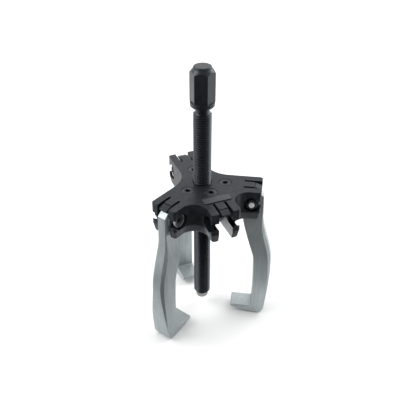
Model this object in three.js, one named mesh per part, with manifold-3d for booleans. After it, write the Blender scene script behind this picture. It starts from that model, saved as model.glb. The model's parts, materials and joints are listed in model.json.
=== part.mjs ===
// Two- and three-leg gear puller: a forged crosshead with four forked arms, three hooked legs
// hung on 8 mm pivot screws, and an M18 forcing spindle with a free-turning pressure tip.
// Millimetres, +Z up along the spindle. The origin is the middle of the tip's pressing face.
import * as THREE from "three";
import { mergeVertices } from "three/addons/utils/BufferGeometryUtils.js";
import Module from "manifold-3d";

const wasm = await Module();
wasm.setup();

// ---------- driving dimensions ----------
const GAP = 0.3; // between neighbouring pieces
const ROUND = 28; // facets round a turned piece
const DEG = Math.PI / 180;

// Crosshead
const HEAD_TOP = 160; // its flat top above the pressing face
const HEAD_THICK = 34.3;
const ARM_HALF = 15.5; // half the width of an arm
const ARM_TIP = 62.6; // from the spindle's axis
const WAIST_NARROW = 14; // hollow between arms 60 degrees apart
const WAIST_WIDE = 30; // hollow between arms 120 degrees apart
const DRAFT_HIGH = 9.5; // the lowest part of its sides leans in
const DRAFT_IN = 1.5;
const ARMS = { a: 90, b: 210, c: 330, d: 270 }; // degrees; d is the spare arm
const LEG_ARMS = ["a", "b", "c"];

// Fork, tongue and hook of each arm
const FORK_HALF = 7.2;
const FORK_END = 41;
const FORK_KNEE = 22; // depth at which the fork's end starts to slope in
const FORK_FOOT = 29.5; // where that slope meets the underside
const TONGUE_HALF = 4.7;
const TONGUE_THICK = 4.6;
const SLOT_START = 44; // inner end of the slots beside the tongue
const STEP_AT = 55; // cross groove in the tongue
const TONGUE_DROP = 2.7; // how far the tongue's tip slopes down
const PIVOT_R = 53.2;
const PIVOT_DROP = 15.7; // pivot below the head's top
const SHOULDER_R = 4; // plain part of the pivot screw, which the leg turns on
const NOTCH_HALF = SHOULDER_R + GAP;
const FINGER_SLOPE_AT = 26; // where the lower finger's outer slope starts, below the top
const FINGER_END = 60.5;
const SINK_R = 8.6; // round recess for the washer
const SINK_FLOOR = 10.4; // from the arm's middle plane

// Pivot screw, nut and washers, along the pivot from the arm's middle plane
const WASHER_AT = SINK_FLOOR + GAP;
const WASHER_R = 7.1;
const WASHER_THICK = 1.3;
const CUP_BASE = 0.5; // cup washer: a thin plate with a raised wall
const CUP_WALL = 0.6;
const CUP_HIGH = 2.6;
const SCREW_HEAD_AT = WASHER_AT + CUP_BASE + GAP;
const SCREW_HEAD_R = 6.1;
const SCREW_FACE = 12.3;
const SOCKET_AF = 5;
const THREAD_END_R = 3; // M6
const NUT_AF = 10;
const NUT_AT = WASHER_AT + WASHER_THICK + GAP;
const NUT_H = 3.2;
const SCREW_END = 16.6;

// Leg
const LEG_HALF = 5.3; // at the eye
const FOOT_HALF = 10.7; // from the middle of the shank down
const EDGE = 0.6; // small chamfer all round a leg
const SHANK_LEVELS = [-30, -38, -46, -54, -62, -72, -84, -97, -110, -124, -138, -150];
const BOSS_HALF = 6.7;
const BOSS_R = 8.6;
const LEG_TOP = 7; // below the head's top
const FOOT_TOP = 162; // below the head's top
const LEG_BOTTOM = 172; // below the head's top

// Spindle
const THREAD_R = 8.8;
const BORE_R = THREAD_R + GAP;
const SINK_MOUTH_R = 10.4;
const HEX_AF = 22;
const HEX_BOTTOM = 243;
const HEX_TOP = 280;
const HEX_CORNER_R = 12.5; // its corners are turned down
const COLLAR_TOP = 250; // round collar below the hex
const COLLAR_R = 12.3;
const SPINDLE_TOP = 285.2;
const CAP_R = 9;
const NECK_R = 7;
const THREAD_TOP = 237.6;
const SPINDLE_END = 7; // lower end of the spindle above the pressing face
const TIP_R = 6.9;
const STEM_R = 3.9;
const STEM_TOP = 14;
const BALL_R = 3;
const RING_AT = 10.4; // snap ring above the pressing face

// Countersunk M6 screws round the hub, and the blank label strip on the spare arm
const HUB_SCREW_AT = 24;
const HUB_HEAD_R = 6.6;
const HUB_SHANK_R = 3;
const HUB_SCREW_LONG = 16;
const HUB_SOCKET_AF = 5;
const LABEL_WIDE = 29;
const LABEL_IN = 34; // its inner edge from the spindle's axis
const LABEL_OUT = 42.8;
const LABEL_THICK = 0.6;

// ---------- materials ----------
const finish = (color, roughness, metalness) => new THREE.MeshStandardMaterial({ color, roughness, metalness });
const FORGED_BLACK = finish(0x34383b, 0.45, 0.3);
const SPINDLE_BLACK = finish(0x23272c, 0.35, 0.6);
const LEG_GREY = finish(0x9aa09f, 0.5, 0.7);
const ZINC = finish(0xc3c6c8, 0.3, 0.9);
const BLACK_OXIDE = finish(0x25272a, 0.4, 0.7);
const LABEL_GREY = finish(0xa9adab, 0.5, 0.2);

// ---------- solids ----------
function solid(geometry) {
  const bare = geometry.index ? geometry.toNonIndexed() : geometry.clone();
  bare.deleteAttribute("normal");
  bare.deleteAttribute("uv");
  const merged = mergeVertices(bare, 1e-4);
  const vertProperties = new Float32Array(merged.attributes.position.array);
  const triVerts = new Uint32Array(merged.index.array);
  return new wasm.Manifold(new wasm.Mesh({ numProp: 3, vertProperties, triVerts }));
}

function geometryOf(made) {
  const out = made.getMesh();
  const positions = new Float32Array(out.numVert * 3);
  for (let i = 0; i < out.numVert; i += 1) {
    positions.set(out.vertProperties.subarray(i * out.numProp, i * out.numProp + 3), i * 3);
  }
  const geometry = new THREE.BufferGeometry();
  geometry.setAttribute("position", new THREE.BufferAttribute(positions, 3));
  geometry.setIndex(new THREE.BufferAttribute(out.triVerts, 1));
  geometry.computeVertexNormals();
  return geometry;
}

function box(x0, x1, y0, y1, z0, z1) {
  const geometry = new THREE.BoxGeometry(x1 - x0, y1 - y0, z1 - z0);
  geometry.translate((x0 + x1) / 2, (y0 + y1) / 2, (z0 + z1) / 2);
  return geometry;
}

// A turned piece about Z from its [radius, height] outline, which starts and ends on the axis.
function turned(outline, facets = ROUND) {
  const points = outline.map(([r, z]) => new THREE.Vector2(r, z));
  return new THREE.LatheGeometry(points, facets).rotateX(Math.PI / 2);
}

// A ring about Z with a rectangular section.
function ring(inner, outer, z0, z1, facets = ROUND) {
  const outline = [[inner, z0], [outer, z0], [outer, z1], [inner, z1], [inner, z0]];
  return turned(outline, facets);
}

function shapeOf(points) {
  return new THREE.Shape(points.map(([x, y]) => new THREE.Vector2(x, y)));
}

// A side outline in an arm's plane, x outwards and y up from the head's top, made 2 * half wide.
function plate(outline, half) {
  const geometry = new THREE.ExtrudeGeometry(shapeOf(outline), { depth: 2 * half, bevelEnabled: false });
  geometry.translate(0, 0, -half);
  return geometry.rotateX(Math.PI / 2).translate(0, 0, HEAD_TOP);
}

// Moves a piece turned about Z to lie along the pivot of the arm that points along +X; its
// own +Z becomes the arm's anticlockwise side.
function onPivot(geometry) {
  return geometry.rotateX(-Math.PI / 2).translate(PIVOT_R, 0, HEAD_TOP - PIVOT_DROP);
}

function hexagon(acrossFlats, z0, z1) {
  const geometry = new THREE.CylinderGeometry(acrossFlats / Math.sqrt(3), acrossFlats / Math.sqrt(3), z1 - z0, 6);
  return geometry.rotateX(Math.PI / 2).translate(0, 0, (z0 + z1) / 2);
}

// ---------- crosshead ----------
function arc(cx, cy, radius, from, to, steps) {
  const points = [];
  for (let i = 0; i <= steps; i += 1) {
    const angle = from + ((to - from) * i) / steps;
    points.push([cx + radius * Math.cos(angle), cy + radius * Math.sin(angle)]);
  }
  return points;
}

function polar(radius, across, degrees) {
  const angle = degrees * DEG;
  const x = radius * Math.cos(angle) - across * Math.sin(angle);
  const y = radius * Math.sin(angle) + across * Math.cos(angle);
  return [x, y];
}

// The hollow between two neighbouring arms, tangent to both.
function waist(from, to) {
  const half = ((to - from) / 2) * DEG;
  const radius = to - from > 90 ? WAIST_WIDE : WAIST_NARROW;
  const bisector = ((from + to) / 2) * DEG;
  const out = (ARM_HALF + radius) / Math.sin(half);
  const centre = [out * Math.cos(bisector), out * Math.sin(bisector)];
  const start = from * DEG - Math.PI / 2;
  const sweep = Math.PI - 2 * half;
  return arc(centre[0], centre[1], radius, start, start - sweep, 10);
}

function planOutline() {
  const order = Object.values(ARMS).sort((p, q) => p - q);
  return order.flatMap((degrees, i) => {
    const next = i + 1 < order.length ? order[i + 1] : order[0] + 360;
    const tip = [polar(ARM_TIP, -ARM_HALF, degrees), polar(ARM_TIP, ARM_HALF, degrees)];
    return [...tip, ...waist(degrees, next)];
  });
}

function headBlank() {
  const options = {
    depth: HEAD_THICK - DRAFT_HIGH + 1,
    bevelSegments: 1,
    bevelThickness: DRAFT_HIGH,
    bevelSize: DRAFT_IN,
    bevelOffset: -DRAFT_IN,
  };
  const blank = new THREE.ExtrudeGeometry(shapeOf(planOutline()), options);
  blank.translate(0, 0, HEAD_TOP - HEAD_THICK + DRAFT_HIGH);
  const wide = 2 * ARM_TIP;
  return solid(blank).subtract(solid(box(-wide, wide, -wide, wide, HEAD_TOP, HEAD_TOP + 20)));
}

// What is cut out of the arm that points along +X: fork, slots, tongue step, hook and sinks.
function armCuts() {
  const past = ARM_TIP + 3;
  const under = -HEAD_THICK - 1;
  const fork = plate([
    [FORK_END, -TONGUE_THICK],
    [FORK_END, -FORK_KNEE],
    [FORK_FOOT, under],
    [past, under],
    [past, -TONGUE_THICK],
  ], FORK_HALF);
  const slot = (side) => {
    const [y0, y1] = side > 0 ? [TONGUE_HALF, FORK_HALF] : [-FORK_HALF, -TONGUE_HALF];
    return box(SLOT_START, past, y0, y1, HEAD_TOP - TONGUE_THICK - 1, HEAD_TOP + 1);
  };
  const step = plate([
    [STEP_AT, 1],
    [STEP_AT, -1.1],
    [STEP_AT + 1, -1.1],
    [STEP_AT + 1, -0.5],
    [ARM_TIP, -TONGUE_DROP],
    [past, -TONGUE_DROP],
    [past, 1],
  ], (TONGUE_HALF + FORK_HALF) / 2);
  const hook = plate([
    ...arc(PIVOT_R, -PIVOT_DROP, NOTCH_HALF, Math.PI / 2, 1.5 * Math.PI, 10),
    [past, -PIVOT_DROP - NOTCH_HALF],
    [past, -PIVOT_DROP + NOTCH_HALF],
  ], ARM_HALF + 1);
  const finger = plate([
    [ARM_TIP, -FINGER_SLOPE_AT],
    [FINGER_END, -HEAD_THICK],
    [FINGER_END, under],
    [past, under],
    [past, -FINGER_SLOPE_AT],
  ], ARM_HALF + 1);
  const sink = (z0, z1) => onPivot(turned([[0, z0], [SINK_R, z0], [SINK_R, z1], [0, z1]]));
  const cuts = [
    slot(1),
    slot(-1),
    step,
    hook,
    finger,
    sink(SINK_FLOOR, ARM_HALF + 1),
    sink(-ARM_HALF - 1, -SINK_FLOOR),
  ];
  return cuts.reduce((made, geometry) => made.add(solid(geometry)), solid(fork));
}

// The outline of a countersunk screw, or with grow above 0 that of the hole it sits in.
function hubScrewOutline(grow) {
  const top = HEAD_TOP + (grow > 0 ? 1 : -0.2);
  const bottom = HEAD_TOP - HUB_SCREW_LONG - grow;
  const head = HUB_HEAD_R + grow;
  const shank = HUB_SHANK_R + grow;
  const rim = HEAD_TOP - 1 - grow;
  return [[0, bottom], [shank, bottom], [shank, rim - (head - shank)], [head, rim], [head, top], [0, top]];
}

function hubScrewHole() {
  return turned(hubScrewOutline(GAP), 20).translate(HUB_SCREW_AT, 0, 0);
}

function crosshead() {
  const mouth = SINK_MOUTH_R - BORE_R;
  const bore = turned([
    [0, HEAD_TOP - HEAD_THICK - 1],
    [BORE_R, HEAD_TOP - HEAD_THICK - 1],
    [BORE_R, HEAD_TOP - mouth],
    [SINK_MOUTH_R + 1, HEAD_TOP + 1],
    [0, HEAD_TOP + 1],
  ]);
  const cuts = armCuts().add(solid(hubScrewHole()));
  const around = Object.values(ARMS).map((degrees) => cuts.rotate([0, 0, degrees]));
  return around.reduce((made, cut) => made.subtract(cut), headBlank().subtract(solid(bore)));
}

// ---------- legs ----------
function spline(points, steps) {
  const curve = new THREE.SplineCurve(points.map(([x, y]) => new THREE.Vector2(x, y)));
  return curve.getPoints(steps).map((p) => [p.x, p.y]);
}

// How far out a falling curve of [out, height] points lies at one height.
function outAt(curve, z) {
  const i = curve.findIndex((point) => point[1] <= z);
  const [p, q] = [curve[i - 1], curve[i]];
  return p[0] + ((q[0] - p[0]) * (z - p[1])) / (q[1] - p[1]);
}

// 0 above the height "from", 1 below "to" and smooth between them.
function ease(z, from, to) {
  const t = Math.min(1, Math.max(0, (from - z) / (from - to)));
  return t * t * (3 - 2 * t);
}

const BACK = spline([[65.9, -28], [66.4, -44], [70, -60], [74.9, -78], [77.4, -92], [77.9, -104], [77.7, -116],
  [76.6, -134], [74.9, -151]], 60);
const FRONT = spline([[44.3, -28], [44.1, -39], [46.2, -50], [51.2, -68], [55.6, -83], [57.4, -89], [58, -100],
  [58.6, -120], [58.7, -151]], 60);

// A station on the leg's side outline: its own place and half width, and those of the point
// further in where the chamfer ends. Heights are from the head's top.
function station(at, inner, half, chamfer) {
  return { at, inner, half, outer: half - chamfer };
}

// The shank widens below the head. Its back stays narrower, with a broad chamfer that fades
// towards the foot, and its front is slightly crowned.
function backStation(z) {
  const wide = ease(z, -34, -66);
  const low = ease(z, -95, -150);
  const out = outAt(BACK, z);
  const half = LEG_HALF + 2.7 * wide + (FOOT_HALF - LEG_HALF - 2.7) * low;
  const broad = wide * (1 - low);
  return station([out, z], [out - EDGE - 2.2 * broad, z], half, EDGE + 2.1 * broad);
}

function frontStation(z) {
  const wide = ease(z, -34, -66);
  const crown = wide * (1 - ease(z, -125, -148));
  const out = outAt(FRONT, z);
  const half = LEG_HALF + (FOOT_HALF - LEG_HALF) * wide;
  return station([out, z], [out + EDGE + 0.6 * crown, z], half, EDGE + 4.7 * crown);
}

// Stations along a plain run of the outline, with an even chamfer; the runs are clockwise.
function plainStations(points, before, after, half) {
  const line = [before, ...points, after];
  return points.map((point, i) => {
    const sum = new THREE.Vector2();
    for (const [p, q] of [[line[i], point], [point, line[i + 2]]]) {
      sum.add(new THREE.Vector2(q[1] - p[1], p[0] - q[0]).normalize());
    }
    const inset = sum.multiplyScalar((2 * EDGE) / sum.lengthSq());
    return station(point, [point[0] + inset.x, point[1] + inset.y], half, EDGE);
  });
}

function legForging() {
  const backs = SHANK_LEVELS.map(backStation);
  const fronts = SHANK_LEVELS.map(frontStation).reverse();
  const eye = arc(PIVOT_R, -PIVOT_DROP, PIVOT_DROP - LEG_TOP, Math.PI, Math.PI / 2, 6);
  const top = [...eye, [60.2, -LEG_TOP], [65.4, -11.3]];
  const foot = [[73.6, -164], [72.2, -168], [69.2, -171.3], [67, -LEG_BOTTOM], [62.5, -LEG_BOTTOM], [41, -167.4],
    [36.4, -165.9], [35, -164.8], [34.8, -163.3], [35.9, -FOOT_TOP], [56.4, -FOOT_TOP], [57.8, -161.3],
    [58.4, -159.8]];
  const head = plainStations(top, fronts.at(-1).at, backs[0].at, LEG_HALF);
  const sole = plainStations(foot, backs.at(-1).at, fronts[0].at, FOOT_HALF);
  const stations = [...head, ...backs, ...sole, ...fronts];
  const count = stations.length;
  const positions = [];
  for (const side of [1, -1]) {
    for (const { at, outer } of stations) positions.push(at[0], side * outer, HEAD_TOP + at[1]);
    for (const { inner, half } of stations) positions.push(inner[0], side * half, HEAD_TOP + inner[1]);
  }
  const faces = [];
  const quad = (a, b, c, d) => faces.push(a, b, c, a, c, d);
  const far = 2 * count; // the other side's points start here
  for (let i = 0; i < count; i += 1) {
    const j = (i + 1) % count;
    quad(far + i, far + j, j, i);
    quad(i, j, count + j, count + i);
    quad(far + count + i, far + count + j, far + j, far + i);
  }
  const cap = (members) => {
    const flat = members.map((i) => new THREE.Vector2(...stations[i].inner));
    const turn = THREE.ShapeUtils.area(flat) < 0 ? 1 : -1;
    for (const corners of THREE.ShapeUtils.triangulateShape(flat, [])) {
      const area = THREE.ShapeUtils.area(corners.map((k) => flat[k]));
      const [a, b, c] = corners.map((k) => members[k]);
      const [p, q] = area * turn < 0 ? [b, c] : [c, b];
      faces.push(count + a, count + p, count + q);
      faces.push(far + count + a, far + count + q, far + count + p);
    }
  };
  const run = (from, to) => Array.from({ length: to - from }, (_, k) => (from + k) % count);
  const firstBack = head.length;
  const lastBack = firstBack + SHANK_LEVELS.length - 1;
  const firstFront = lastBack + sole.length + 1;
  cap([...run(0, firstBack + 1), count - 1]);
  SHANK_LEVELS.slice(1).forEach((_, k) => cap([firstBack + k, firstBack + k + 1, count - 2 - k, count - 1 - k]));
  cap(run(lastBack, firstFront + 1));
  const geometry = new THREE.BufferGeometry();
  geometry.setAttribute("position", new THREE.Float32BufferAttribute(positions, 3));
  geometry.setIndex(faces);
  return geometry;
}

function leg() {
  const boss = onPivot(turned([[0, -BOSS_HALF], [BOSS_R, -BOSS_HALF], [BOSS_R, BOSS_HALF], [0, BOSS_HALF]]));
  const bore = onPivot(turned([[0, -20], [NOTCH_HALF, -20], [NOTCH_HALF, 20], [0, 20]]));
  return solid(legForging()).add(solid(boss)).subtract(solid(bore));
}

// ---------- pivot hardware, made on the arm that points along +X ----------
function pivotScrew() {
  const body = turned([
    [0, -SCREW_END],
    [THREAD_END_R - 0.6, -SCREW_END],
    [THREAD_END_R, -SCREW_END + 0.6],
    [THREAD_END_R, -SINK_FLOOR],
    [SHOULDER_R, -SINK_FLOOR],
    [SHOULDER_R, SCREW_HEAD_AT],
    [SCREW_HEAD_R, SCREW_HEAD_AT],
    [SCREW_HEAD_R, SCREW_FACE],
    [0, SCREW_FACE],
  ]);
  const socket = hexagon(SOCKET_AF, SCREW_FACE - 3, SCREW_FACE + 1);
  return solid(onPivot(body)).subtract(solid(onPivot(socket)));
}

function pivotNut() {
  const blank = hexagon(NUT_AF, -NUT_AT - NUT_H, -NUT_AT);
  const wide = THREAD_END_R + GAP;
  const bore = turned([[0, -30], [wide, -30], [wide, 0], [0, 0]]);
  return solid(onPivot(blank)).subtract(solid(onPivot(bore)));
}

// The cup washer that the screw's low head sits in.
function screwWasher() {
  const base = WASHER_AT + CUP_BASE;
  const rim = WASHER_AT + CUP_HIGH;
  return turned([
    [NOTCH_HALF, WASHER_AT],
    [WASHER_R, WASHER_AT],
    [WASHER_R, rim],
    [WASHER_R - CUP_WALL, rim],
    [WASHER_R - CUP_WALL, base],
    [NOTCH_HALF, base],
    [NOTCH_HALF, WASHER_AT],
  ]);
}

function nutWasher() {
  return ring(THREAD_END_R + GAP, WASHER_R, -WASHER_AT - WASHER_THICK, -WASHER_AT);
}

// ---------- spindle ----------
function spindle() {
  const shaft = turned([
    [0, SPINDLE_END],
    [7.2, SPINDLE_END],
    [8.4, SPINDLE_END + 2.4],
    [THREAD_R, SPINDLE_END + 4.4],
    [THREAD_R, THREAD_TOP],
    [NECK_R, THREAD_TOP + 2.4],
    [NECK_R, HEX_BOTTOM],
    [9.8, HEX_BOTTOM + 0.4],
    [COLLAR_R, HEX_BOTTOM + 3],
    [COLLAR_R, COLLAR_TOP],
    [CAP_R, COLLAR_TOP],
    [CAP_R, SPINDLE_TOP - 1.2],
    [CAP_R - 1.2, SPINDLE_TOP],
    [0, SPINDLE_TOP],
  ]);
  const corners = turned([
    [0, COLLAR_TOP - 1],
    [COLLAR_R - 0.2, COLLAR_TOP - 1],
    [HEX_CORNER_R, COLLAR_TOP + 0.2],
    [HEX_CORNER_R, HEX_TOP - 1.6],
    [8.9, HEX_TOP + 3],
    [0, HEX_TOP + 3],
  ]);
  const hex = solid(hexagon(HEX_AF, COLLAR_TOP - 2, HEX_TOP + 3)).intersect(solid(corners));
  const wide = STEM_R + GAP;
  const socketTop = STEM_TOP + 2 * BALL_R + 2 * GAP;
  const socket = turned([
    [0, SPINDLE_END - 1],
    [wide, SPINDLE_END - 1],
    [wide, RING_AT - GAP],
    [5.1, RING_AT - GAP],
    [5.1, RING_AT + 1 + GAP],
    [wide, RING_AT + 1 + GAP],
    [wide, socketTop],
    [0, socketTop],
  ]);
  return solid(shaft).add(hex).subtract(solid(socket));
}

function spindleTip() {
  const groove = 3.2;
  return turned([
    [0, 0],
    [5.4, 0],
    [TIP_R, 1.4],
    [TIP_R, SPINDLE_END - GAP],
    [STEM_R, SPINDLE_END - GAP],
    [STEM_R, RING_AT - GAP],
    [groove, RING_AT - GAP],
    [groove, RING_AT + 1 + GAP],
    [STEM_R, RING_AT + 1 + GAP],
    [STEM_R, STEM_TOP],
    [0, STEM_TOP],
  ]);
}

function thrustBall() {
  return new THREE.SphereGeometry(BALL_R, 16, 10).translate(0, 0, STEM_TOP + GAP + BALL_R);
}

function hubScrew() {
  const socket = hexagon(HUB_SOCKET_AF, HEAD_TOP - 2.6, HEAD_TOP + 1);
  return solid(turned(hubScrewOutline(0), 20)).subtract(solid(socket)).translate([HUB_SCREW_AT, 0, 0]);
}

// A blank strip across the root of the spare arm.
function labelStrip() {
  const floor = HEAD_TOP + GAP;
  return box(-LABEL_WIDE / 2, LABEL_WIDE / 2, -LABEL_OUT, -LABEL_IN, floor, floor + LABEL_THICK);
}

// ---------- assembly ----------
const puller = new THREE.Group();

function place(parent, name, geometry, material) {
  const mesh = new THREE.Mesh(geometry, material);
  mesh.name = name;
  parent.add(mesh);
}

place(puller, "crosshead", geometryOf(crosshead()), FORGED_BLACK);
place(puller, "spindle", geometryOf(spindle()), SPINDLE_BLACK);
place(puller, "spindle_tip", spindleTip(), ZINC);
place(puller, "tip_snap_ring", ring(3.5, 4.8, RING_AT, RING_AT + 1), SPINDLE_BLACK);
place(puller, "thrust_ball", thrustBall(), ZINC);
place(puller, "label_strip", labelStrip(), LABEL_GREY);

for (const [arm, degrees] of Object.entries(ARMS)) {
  const group = new THREE.Group();
  group.rotation.z = degrees * DEG;
  puller.add(group);
  place(group, `hub_screw_${arm}`, geometryOf(hubScrew()), BLACK_OXIDE);
  if (!LEG_ARMS.includes(arm)) continue;
  place(group, `leg_${arm}`, geometryOf(leg()), LEG_GREY);
  place(group, `pivot_screw_${arm}`, geometryOf(pivotScrew()), BLACK_OXIDE);
  place(group, `pivot_nut_${arm}`, geometryOf(pivotNut()), BLACK_OXIDE);
  place(group, `screw_washer_${arm}`, geometryOf(solid(onPivot(screwWasher()))), ZINC);
  place(group, `nut_washer_${arm}`, geometryOf(solid(onPivot(nutWasher()))), BLACK_OXIDE);
}

export default puller;
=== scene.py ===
"""Gear puller: the looks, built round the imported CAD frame.

Pieces are modelled in millimetres, with the crosshead's flat top at HEAD_TOP, and are scaled to
metres when they are finished. An arm's pieces are made on the arm that points along +X and then
turned into place, so "out" is away from the spindle and "across" is along the pivot.
"""
import json
import math

import bmesh
import bpy
from mathutils import Matrix, Vector


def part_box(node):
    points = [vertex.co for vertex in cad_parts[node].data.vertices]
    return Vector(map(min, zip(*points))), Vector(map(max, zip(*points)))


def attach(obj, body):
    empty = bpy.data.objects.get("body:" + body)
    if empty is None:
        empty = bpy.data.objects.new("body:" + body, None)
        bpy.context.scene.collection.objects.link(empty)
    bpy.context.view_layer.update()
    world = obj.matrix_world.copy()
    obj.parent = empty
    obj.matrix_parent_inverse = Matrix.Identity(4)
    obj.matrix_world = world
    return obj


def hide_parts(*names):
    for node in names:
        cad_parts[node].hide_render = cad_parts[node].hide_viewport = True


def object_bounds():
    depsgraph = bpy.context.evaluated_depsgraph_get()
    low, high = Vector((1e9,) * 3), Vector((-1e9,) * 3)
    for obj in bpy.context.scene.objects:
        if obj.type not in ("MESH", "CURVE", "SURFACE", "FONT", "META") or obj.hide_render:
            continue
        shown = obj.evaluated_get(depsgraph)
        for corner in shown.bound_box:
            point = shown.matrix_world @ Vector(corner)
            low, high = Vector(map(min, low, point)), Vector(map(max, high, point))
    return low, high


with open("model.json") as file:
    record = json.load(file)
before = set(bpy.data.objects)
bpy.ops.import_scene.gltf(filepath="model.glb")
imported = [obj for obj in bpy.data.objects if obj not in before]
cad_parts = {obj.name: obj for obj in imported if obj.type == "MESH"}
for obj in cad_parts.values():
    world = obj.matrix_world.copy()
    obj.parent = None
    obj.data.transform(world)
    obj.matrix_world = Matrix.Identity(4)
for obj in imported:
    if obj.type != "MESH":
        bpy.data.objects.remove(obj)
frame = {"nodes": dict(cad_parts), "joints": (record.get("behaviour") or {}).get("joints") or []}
cad_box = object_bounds()

MM = 0.001
TAU = 2 * math.pi

# ---------- places taken from the frame, in millimetres ----------
HEAD_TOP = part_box("crosshead")[1].z / MM
HEAD_THICK = HEAD_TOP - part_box("crosshead")[0].z / MM
SPINDLE_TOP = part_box("spindle")[1].z / MM
SPINDLE_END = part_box("spindle")[0].z / MM
LEG_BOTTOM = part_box("leg_a")[0].z / MM
LABEL_LOW, LABEL_HIGH = (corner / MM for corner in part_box("label_strip"))
LEG_JOINTS = [joint for joint in frame["joints"] if joint["child"].startswith("leg_")]
PIVOTS = {joint["child"]: Vector(joint["pos_m"]) / MM for joint in LEG_JOINTS}
PIVOT_OUT = PIVOTS["leg_a"].xy.length
PIVOT_Z = PIVOTS["leg_a"].z
LEG_ARMS = {body[-1]: math.degrees(math.atan2(at.y, at.x)) for body, at in PIVOTS.items()}
SPARE_ARM = -90.0
ARM_ANGLES = sorted([*(angle % 360 for angle in LEG_ARMS.values()), SPARE_ARM % 360])

# ---------- crosshead ----------
ARM_HALF = 15.5
ARM_TIP = 62.6
CORNER_R = 2.6  # upright corners of an arm's end
WAIST_NARROW = 14.0  # hollow between arms 60 degrees apart
WAIST_WIDE = 30.0  # hollow between arms 120 degrees apart
DRAFT_HIGH = 9.5  # the lowest part of its sides leans in
DRAFT_IN = 1.5
LOW_CHAMFER = 0.8
HEAD_EDGE = 0.45
FORK_HALF = 7.2
FORK_END = 41.0
FORK_KNEE = 22.0  # depth at which the fork's end starts to slope in
FORK_FOOT = 29.5  # where that slope meets the underside
TONGUE_HALF = 4.7
TONGUE_THICK = 4.6
SLOT_START = 44.0  # inner end of the slots beside the tongue
STEP_AT = 55.0  # cross groove in the tongue
STEP_WIDE = 1.0
STEP_DEEP = 1.1
STEP_LOW = 0.5  # how far the tongue lies below the top past the groove
TONGUE_DROP = 2.7  # how far the tongue's tip slopes down
NOTCH_HALF = 4.3
FINGER_SLOPE_AT = 26.0  # where the lower finger's outer slope starts, below the top
FINGER_END = 60.5
SINK_R = 8.6  # round recess for the washer
SINK_FLOOR = 10.4  # from the arm's middle plane
BORE_R = 9.5
BORE_MOUTH_R = 10.4

# ---------- screws, nuts and washers; those of a pivot lie along it from the arm's middle plane ----------
FIT_GAP = 0.3
WASHER_AT = SINK_FLOOR + FIT_GAP
WASHER_R = 7.1
WASHER_THICK = 1.3
CUP_BASE = 0.5
CUP_WALL = 0.6
CUP_HIGH = 2.6
SHOULDER_R = 4.0
SCREW_HEAD_AT = WASHER_AT + CUP_BASE + FIT_GAP
SCREW_HEAD_R = 6.1
SCREW_FACE = 12.3
SCREW_SOCKET_AF = 5.0
SCREW_SOCKET_DEEP = 3.0
THREAD_END_R = 3.0
SMALL_PITCH = 1.0  # of the M6 thread
NUT_AF = 10.0
NUT_AT = WASHER_AT + WASHER_THICK + FIT_GAP
NUT_H = 3.2
SCREW_END = 16.6
# From here to its end the screw's thread is bare and gets a near-white painted highlight.
GLINT_BELOW = -NUT_AT  # the screw's thread is bright from here to its end
NECK_SLIM = 0.4  # how much thinner than its thread the screw is just above it
NUT_EDGE = 0.15
HUB_SCREW_AT = 24.0
HUB_HEAD_R = 6.6
HUB_SHANK_R = 3.0
HUB_SCREW_LONG = 16.0
HUB_SOCKET_AF = 5.0
HUB_SOCKET_DEEP = 2.8
HUB_RIM = 1.0  # depth of the straight part of the countersunk head
HUB_EDGE = 0.22
LABEL_EDGE = 0.2

# ---------- spindle ----------
PITCH = 2.5
CREST_R = 9.3
THREAD_DEPTH = 0.5  # as a part of the pitch
THREAD_TOP = HEAD_TOP + 77.6
HEX_AF = 22.0
HEX_BOTTOM = HEAD_TOP + 83.0
HEX_TOP = HEAD_TOP + 120.0
COLLAR_TOP = HEAD_TOP + 90.0
COLLAR_R = 12.3
NECK_R = 7.0
CAP_R = 9.0
CAP_CHAMFER = 1.3
HEX_EDGE = 0.3
SOCKET_R = 4.2  # the hole in the spindle that the tip turns in
SOCKET_DEEP = 13.6
TIP_R = 6.9
STEM_R = 3.9
STEM_LONG = 7.0  # how far the tip's stem goes up past the spindle's end
RING_LOW = 3.1  # groove for the snap ring, above the spindle's end
RING_HIGH = 4.7
RING_DEEP = 0.7

# ---------- legs ----------
LEG_HALF = 5.3
FOOT_HALF = 10.7
BOSS_HALF = 6.7
BOSS_R = 8.6
LEG_TOP = HEAD_TOP - 7.0
FOOT_TOP = LEG_BOTTOM + 10.0
LEG_EDGE = 0.8
LEG_ROUND = 0.5
BACK_WIDER = 2.7  # how much the back's half width grows by the middle of the shank
BACK_CHAMFER = 2.1
FRONT_CHAMFER = 4.5
LEVELS = [-z for z in range(30, 151, 4)]  # of the shank's stations, from the crosshead's top

FINE = 64  # facets round a turned piece
MEDIUM = 48  # the same, round a screw
VERY_FINE = 96  # the same, round the spindle
WORN_ANGLE = 32  # degrees of turn at which an edge is fully worn


# ---------- mesh building ----------
def new_object(name, bm):
    mesh = bpy.data.meshes.new(name)
    bm.normal_update()
    bm.to_mesh(mesh)
    bm.free()
    obj = bpy.data.objects.new(name, mesh)
    bpy.context.scene.collection.objects.link(obj)
    return obj


def skin(rings):
    """A closed mesh over rings of points that all have the same count."""
    bm = bmesh.new()
    rows = [[bm.verts.new(point) for point in ring] for ring in rings]
    count = len(rows[0])
    for low, high in zip(rows, rows[1:]):
        for i in range(count):
            j = (i + 1) % count
            bm.faces.new((low[i], low[j], high[j], high[i]))
    bm.faces.new(reversed(rows[0]))
    bm.faces.new(rows[-1])
    bmesh.ops.remove_doubles(bm, verts=bm.verts, dist=1e-5)
    bmesh.ops.recalc_face_normals(bm, faces=bm.faces)
    return bm


def prism(outline, low, high):
    """An outline in plan, between two heights."""
    return new_object("prism", skin([[(x, y, z) for x, y in outline] for z in (low, high)]))


def plate(outline, half):
    """A side outline of (out, height above the crosshead's top), 2 * half across."""
    return new_object("plate", skin([[(x, y, HEAD_TOP + z) for x, z in outline] for y in (-half, half)]))


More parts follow.
